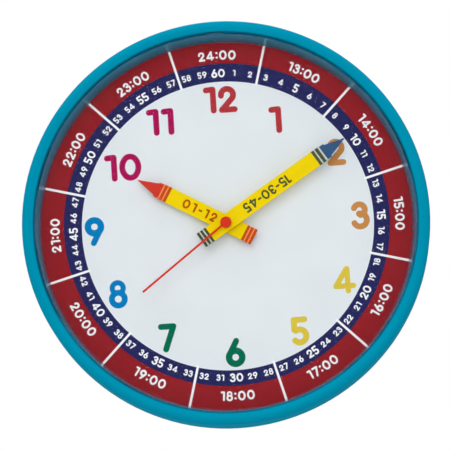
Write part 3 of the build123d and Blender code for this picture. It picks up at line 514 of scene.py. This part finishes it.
def fused(name, strokes):  # strokes that cross become one shape
    objects = []
    for stroke in strokes:
        bm = bmesh.new()
        penStroke(bm, **stroke)
        thicken(bm, 0.0, 1.0)
        bmesh.ops.recalc_face_normals(bm, faces=bm.faces)
        mesh = bpy.data.meshes.new(name)
        bm.to_mesh(mesh)
        bm.free()
        objects.append(bpy.data.objects.new(name, mesh))
        scene.collection.objects.link(objects[-1])
    for other in objects[1:]:
        join = objects[0].modifiers.new("join", "BOOLEAN")
        join.operation = "UNION"
        join.solver = "EXACT"
        join.object = other
    graph = bpy.context.evaluated_depsgraph_get()
    shape = bpy.data.meshes.new_from_object(objects[0].evaluated_get(graph))
    for item in objects:
        bpy.data.meshes.remove(item.data)
    return welded(shape)


def addCopy(bm, mesh, put):  # a copy of a mesh in a bmesh, moved by a matrix
    had = len(bm.verts)
    bm.from_mesh(mesh)
    bm.verts.ensure_lookup_table()
    bmesh.ops.transform(bm, matrix=put, verts=bm.verts[had:])


# the rings are a little off the hands' axis, as the print is

rings = {
    "dialRedRing": dict(inner=(0.2, 0.65, 104.4), outer=(0.0, 0.0, 119.4), finish="ringRed"),
    "dialNavyRing": dict(inner=(0.8, -0.35, 93.45), outer=(0.2, 0.65, 104.4), finish="ringNavy"),
}
ringSegments = 240
ringRise = 0.03
ringMiddle = (0.5, 0.1)  # of the lines and numbers on the rings
for name, ring in rings.items():
    bm = bmesh.new()
    for x, y, radius in (ring["inner"], ring["outer"]):
        middle = Matrix.Translation((x, y, 0))
        bmesh.ops.create_circle(bm, segments=ringSegments, radius=radius, matrix=middle)
    bmesh.ops.bridge_loops(bm, edges=bm.edges)
    thicken(bm, dialFront, dialFront + ringRise)
    settle(name, bm, ring["finish"], "case")

dividers = dict(count=12, start=93.2, end=118.4, width=1.5, rise=0.05)
line = bmesh.new()
penStroke(line, (dividers["start"], 0), 0, [dividers["end"] - dividers["start"]], dividers["width"])
thicken(line, dialFront, dialFront + dividers["rise"])
lineMesh = bpy.data.meshes.new("line")
line.to_mesh(lineMesh)
line.free()
bm = bmesh.new()
for k in range(dividers["count"]):
    turn = Matrix.Rotation(math.tau * (k + 0.5) / dividers["count"], 4, "Z")
    addCopy(bm, lineMesh, Matrix.Translation((*ringMiddle, 0)) @ turn)
bpy.data.meshes.remove(lineMesh)
settle("dialDividers", bm, "lineWhite", "case")

digitHigh = 17.6
digitStrokes = {  # widths are shares of the pen's
    "0": [dict(start=(0, 6.9), heading=180, closed=True, width=1.0, moves=[
        (4.2, 49.35), (8.345, 81.3), (4.2, 98.7), (8.345, 81.3), (4.2, 49.35)])],
    "1": [dict(start=(-2.2, 6.6), heading=4, width=1.0, moves=[4.2]),
          dict(start=(2.1, 6.8), heading=-90, width=1.0, moves=[13.6])],
    "2": [dict(start=(-4.2, 2.5), heading=95, width=1.0, moves=[(3.9, -228.5), 9.6]),
          dict(start=(-4.0, -6.8), heading=0, width=1.0, moves=[8.1])],
    "3": [dict(start=(-3.3, 4.75), heading=70, width=1.0, moves=[(3.5, -240)]),
          dict(start=(-0.4, 1.06), heading=8, width=1.0, moves=[(4.2, -253)])],
    "4": [dict(start=(2.0, 7.0), heading=-123.5, width=0.895, moves=[13.2]),
          dict(start=(-5.3, -4.0), heading=0, width=0.895, moves=[11.2]),
          dict(start=(2.3, 7.0), heading=-89, width=0.895, moves=[14.2])],
    "5": [dict(start=(3.2, 7.2), heading=180, width=1.0, moves=[6.7]),
          dict(start=(-3.5, 7.2), heading=-90, width=1.0, moves=[6.3]),
          dict(start=(-2.6, 0.2), heading=34, width=1.0, moves=[(4.15, -262)])],
    "6": [dict(start=(0, 1.15), heading=180, closed=True, width=1.105, moves=[(4.2, 180), (4.2, 180)]),
          dict(start=(0.95, 7.4), heading=-118.8, width=1.0, moves=[9.6])],
    "7": [dict(start=(-4.1, 7.2), heading=0, width=1.0, moves=[8.0]),
          dict(start=(3.9, 7.2), heading=-110.6, width=1.0, moves=[15.6])],
    "8": [dict(start=(2.68, 1.65), heading=50, width=0.895, moves=[(3.5, 260)]),
          dict(start=(0, 0.95), heading=180, closed=True, width=1.0, moves=[(4.1, 180), (4.1, 180)])],
    "9": [dict(start=(0, 7.25), heading=180, closed=True, width=1.105, moves=[(4.2, 180), (4.2, 180)]),
          dict(start=(-0.95, -7.4), heading=61.2, width=1.0, moves=[9.6])],
    ":": [dict(start=(-0.1, 4.2), heading=0, width=1.1, moves=[0.2]),
          dict(start=(-0.1, -4.2), heading=0, width=1.1, moves=[0.2])],
    "-": [dict(start=(-2.1, 0), heading=0, width=1.0, moves=[4.2])],
}
broadPen = dict(width=3.8)
finePen = dict(width=3.5, bendStep=16.0, capSteps=7)  # small digits need fewer faces


def drawnDigits(width, **steps):
    shapes = {}
    for sign, strokes in digitStrokes.items():
        drawn = [{**stroke, **steps, "width": stroke["width"] * width} for stroke in strokes]
        shapes[sign] = fused("digit" + sign, drawn)
    return shapes


broadDigits = drawnDigits(**broadPen)
fineDigits = drawnDigits(**finePen)


def setLine(bm, shapes, text, high, gap, spotOf, low, rise):
    # digits set one by one: spotOf turns a distance along the line into a place and a turn
    share = high / digitHigh
    spans = []
    for sign in text:
        across = [vert.co.x for vert in shapes[sign].vertices]
        spans.append((min(across), max(across)))
    along = -(sum(right - left for left, right in spans) * share + gap * (len(text) - 1)) / 2
    for sign, (left, right) in zip(text, spans):
        wide = (right - left) * share
        place, turn = spotOf(along + wide / 2)
        middle = Matrix.Translation((-(left + right) / 2, 0, 0))
        size = Matrix.Diagonal((share, share, rise, 1))
        put = Matrix.Translation((*place, low)) @ Matrix.Rotation(turn, 4, "Z")
        addCopy(bm, shapes[sign], put @ size @ middle)
        along += wide + gap


def level(x, y):  # places along an upright line
    return lambda along: ((x + along, y), 0)


numerals = {  # colour, then the middle of the numeral on the dial
    "12": ("numeralRed", 0.9, 81.4), "1": ("numeralRed", 35.4, 65.9),
    "2": ("numeralOrange", 73.0, 42.4), "3": ("numeralOrange", 85.7, 0.5),
    "4": ("numeralYellow", 72.8, -40.4), "5": ("numeralYellow", 42.7, -71.3),
    "6": ("numeralGreen", 0.7, -82.5), "7": ("numeralGreen", -41.7, -70.3),
    "8": ("numeralBlue", -71.8, -40.3), "9": ("numeralBlue", -84.5, 1.1),
    "10": ("numeralMagenta", -64.1, 41.3), "11": ("numeralMagenta", -38.5, 69.3),
}
numeralGap = 1.4
numeralRise = 0.06
for tint in sorted({values[0] for values in numerals.values()}):
    bm = bmesh.new()
    for text, (finish, x, y) in numerals.items():
        if finish == tint:
            setLine(bm, broadDigits, text, digitHigh, numeralGap, level(x, y), dialFront, numeralRise)
    settle("hourNumerals" + tint.removeprefix("numeral"), bm, tint, "case")
print("dial rings and numerals drawn")


def onRing(radius, angle, flipped):  # places along a ring, with the tops of the digits out or in
    def spotOf(along):
        turn = math.radians(angle) + (-along if flipped else along) / radius
        place = (ringMiddle[0] + radius * math.sin(turn), ringMiddle[1] + radius * math.cos(turn))
        return place, -turn + (math.pi if flipped else 0)

    return spotOf


hourRing = dict(radius=110.4, high=6.3, gap=0.9)
minuteRing = dict(radius=98.6, high=4.1, fiveHigh=5.6, gap=0.5)
flippedHours = (4, 5, 6, 7, 8)
ringNumberRise = 0.05
base = dialFront + ringRise
hoursBm = bmesh.new()
minutesBm = bmesh.new()
for hour in range(1, 13):
    flipped = hour in flippedHours
    spotOf = onRing(hourRing["radius"], hour * 30, flipped)
    text = f"{hour + 12}:00"
    setLine(hoursBm, fineDigits, text, hourRing["high"], hourRing["gap"], spotOf, base, ringNumberRise)
    for minute in range(hour * 5 - 2, hour * 5 + 3):
        text = str((minute - 1) % 60 + 1)
        high = minuteRing["fiveHigh"] if minute == hour * 5 else minuteRing["high"]
        spotOf = onRing(minuteRing["radius"], minute * 6, flipped)
        setLine(minutesBm, fineDigits, text, high, minuteRing["gap"], spotOf, base, ringNumberRise)
settle("ringHourNumbers", hoursBm, "lineWhite", "case")
settle("ringMinuteNumbers", minutesBm, "lineWhite", "case")


def onHand(angle, middle):  # places along a hand, read from its tip to the hands' axis
    turn = math.radians(angle)

    def spotOf(along):
        reach = middle - along
        return (reach * math.sin(turn), reach * math.cos(turn)), -turn - math.pi / 2

    return spotOf


handLabels = {
    "hourHandNumbers": dict(
        text="01-12", angle=hourPrint["angle"], middle=18.8, high=6.2, gap=1.7, on="hour_hand",
        finish="labelBrown", body="hours"),
    "minuteHandNumbers": dict(
        text="15-30-45", angle=minutePrint["angle"], middle=32.3, high=6.4, gap=0.7, on="minute_hand",
        finish="labelOlive", body="minutes"),
}
handLabelRise = 0.05
for name, label in handLabels.items():
    bm = bmesh.new()
    spotOf = onHand(label["angle"], label["middle"])
    front = frontOf(label["on"])
    setLine(bm, fineDigits, label["text"], label["high"], label["gap"], spotOf, front, handLabelRise)
    settle(name, bm, label["finish"], label["body"])
for mesh in [*broadDigits.values(), *fineDigits.values()]:
    bpy.data.meshes.remove(mesh)
print("numbers in the rings and on the hands set")


# small marks on the back, raised toward the wall

movementMarks = {
    "knobArrows": [
        dict(start=(-8.86, 9.06), heading=180, moves=[(7.5, 71)]),
        dict(start=(-14.34, 4.82), heading=217, moves=[1.56, (0.5, -104), 1.56]),
        dict(start=(-8.86, -5.94), heading=0, moves=[(7.5, 71)]),
        dict(start=(-3.38, -1.7), heading=37, moves=[1.56, (0.5, -104), 1.56]),
    ],
    "cellPlus": [
        dict(start=(17.0, -8.2), heading=0, moves=[3.4]),
        dict(start=(18.7, -6.5), heading=-90, moves=[3.4]),
    ],
    "cellMinus": [dict(start=(-19.6, -8.2), heading=0, moves=[3.4])],
}
movementBack = dict(on=4.2, rise=0.25, width=0.8)
for name, strokes in movementMarks.items():
    shape = fused(name, [{**stroke, "width": movementBack["width"]} for stroke in strokes])
    bm = bmesh.new()
    size = Matrix.Diagonal((1, 1, -movementBack["rise"], 1))
    addCopy(bm, shape, Matrix.Translation((0, 0, movementBack["on"])) @ size)
    bpy.data.meshes.remove(shape)
    settle(name, bm, "knobGrey", "case")


def roundRim(count, reach):
    turns = [math.tau * k / count for k in range(count)]
    return [(reach * math.cos(turn), reach * math.sin(turn)) for turn in turns]


screwCrosses = {  # cross recesses as painted shade, flat dark crosses on the heads: heads' height, arm, width, then the places
    "hangerScrewCrosses": dict(on=0.8, arm=1.5, width=0.7, spots=[(-16.0, 100.0), (16.0, 100.0)]),
    "coverScrewCrosses": dict(
        on=3.3, arm=0.9, width=0.45, spots=[(x, y) for x in (-25.95, 25.95) for y in (-8.77, 27.51)]),
    "rimScrewCrosses": dict(on=18.8, arm=1.1, width=0.55, spots=roundRim(6, 125.9)),
}
crossRise = 0.03
for name, cross in screwCrosses.items():
    arm = cross["arm"]
    shape = fused(name, [
        dict(start=(-arm, 0), heading=0, width=cross["width"], moves=[2 * arm]),
        dict(start=(0, -arm), heading=90, width=cross["width"], moves=[2 * arm]),
    ])
    bm = bmesh.new()
    for x, y in cross["spots"]:
        addCopy(bm, shape, Matrix.Translation((x, y, cross["on"])) @ Matrix.Diagonal((1, 1, -crossRise, 1)))
    bpy.data.meshes.remove(shape)
    settle(name, bm, "recessShade", "case")

pinMarks = dict(on=20.2, radius=3.0, rise=0.15, segments=40, rings=[(72.0, 8), (106.0, 8)])
bm = bmesh.new()
for reach, count in pinMarks["rings"]:
    for k in range(count):
        put = Matrix.Rotation(math.tau * k / count, 4, "Z") @ Matrix.Translation((reach, 0, 0))
        bmesh.ops.create_circle(
            bm, cap_ends=True, segments=pinMarks["segments"], radius=pinMarks["radius"], matrix=put)
thicken(bm, pinMarks["on"] - pinMarks["rise"], pinMarks["on"])
settle("panPinMarks", bm, "tealPan", "case")
print("marks on the back made")


def plainlySeen(paint):  # 1 for the camera, mirrors and glass, 0 for light on its way to the clock
    seen = paint.node("ShaderNodeLightPath", out="Is Camera Ray")
    for name in ("Is Glossy Ray", "Is Transmission Ray"):
        seen = seen.sum("MAXIMUM", seen, paint.node("ShaderNodeLightPath", out=name))
    return seen


floorPlan = dict(
    radius=40.0, segments=96, height=-0.5, colour=(0.8, 0.8, 0.8, 1.0), bounce=(0.6, 0.6, 0.6, 1.0),
)
bm = bmesh.new()
bmesh.ops.create_circle(bm, cap_ends=True, segments=floorPlan["segments"], radius=floorPlan["radius"])
bmesh.ops.translate(bm, vec=(0, 0, floorPlan["height"]), verts=bm.verts)
floorMesh = bpy.data.meshes.new("floor")
bm.to_mesh(floorMesh)
bm.free()
floor = bpy.data.objects.new("floor", floorMesh)
scene.collection.objects.link(floor)
floorFinish, paint = newFinish("floorPale")
tone = paint.blend(plainlySeen(paint), floorPlan["bounce"], floorPlan["colour"])
matte = paint.node("ShaderNodeBsdfDiffuse", {}, {"Color": tone})
clear = paint.node("ShaderNodeBsdfTransparent")
under = paint.node("ShaderNodeNewGeometry", out="Backfacing")  # open to a camera below it
paint.close(paint.node("ShaderNodeMixShader", {}, {0: under, 1: matte, 2: clear}))
floorMesh.materials.append(floorFinish)

skyPlan = dict(
    low=(0.5, 0.5, 0.5, 1.0), high=(1.0, 1.0, 1.0, 1.0), brightest=(-0.2, 0.0, 0.98),
    white=(1.0, 1.0, 1.0, 1.0),
)
world = bpy.data.worlds.new("studio")
world.use_nodes = True
scene.world = world
paint = Paint(world.node_tree)
towards = paint.node("ShaderNodeTexCoord")  # a direction, in a world's nodes
lift = paint.vector("DOT_PRODUCT", towards, skyPlan["brightest"])
fill = paint.blend(lift * 0.5 + 0.5, skyPlan["low"], skyPlan["high"])
tone = paint.blend(plainlySeen(paint), fill, skyPlan["white"])
sky = paint.node("ShaderNodeBackground", {}, {"Color": tone, "Strength": 1.0})
paint.node("ShaderNodeOutputWorld", {}, {"Surface": sky})

lamps = {
    "keyLamp": dict(at=(-0.3, -2.5, 1.25), radius=0.85, power=55.0),
    "topLamp": dict(at=(-0.2, 0.2, 2.4), radius=0.5, power=40.0),
    "fillLamp": dict(at=(0.2, -3.0, -0.2), radius=1.0, power=85.0),
    "backLamp": dict(at=(-0.5, 2.0, 1.2), radius=0.7, power=80.0),
}
for name, lamp in lamps.items():
    light = bpy.data.lights.new(name, "POINT")
    light.shadow_soft_size = lamp["radius"]
    light.energy = lamp["power"]
    item = bpy.data.objects.new(name, light)
    item.location = lamp["at"]
    scene.collection.objects.link(item)

cameraPlan = dict(
    target=(-0.00091, -0.025, -0.00039), distance=2.5, azimuth=1.53, elevation=-8.81, roll=-3.49, lens=312.96,
    sensor=36.0, farClip=100.0,
)
azimuth, elevation, roll = [math.radians(cameraPlan[key]) for key in ("azimuth", "elevation", "roll")]
flatShare = math.cos(elevation)
back = Vector((math.sin(azimuth) * flatShare, -math.cos(azimuth) * flatShare, math.sin(elevation)))
right = Vector((0, 0, 1)).cross(back).normalized()
up = back.cross(right)
leanRight = right * math.cos(roll) + up * math.sin(roll)
leanUp = up * math.cos(roll) - right * math.sin(roll)
camera = bpy.data.objects.new("camera", bpy.data.cameras.new("camera"))
camera.data.lens = cameraPlan["lens"]
camera.data.sensor_width = cameraPlan["sensor"]
camera.data.clip_end = cameraPlan["farClip"]
turned = Matrix((leanRight, leanUp, back)).transposed().to_4x4()
stand = Vector(cameraPlan["target"]) + back * cameraPlan["distance"]
camera.matrix_world = Matrix.Translation(stand) @ turned
scene.collection.objects.link(camera)
scene.camera = camera
print("stage set")
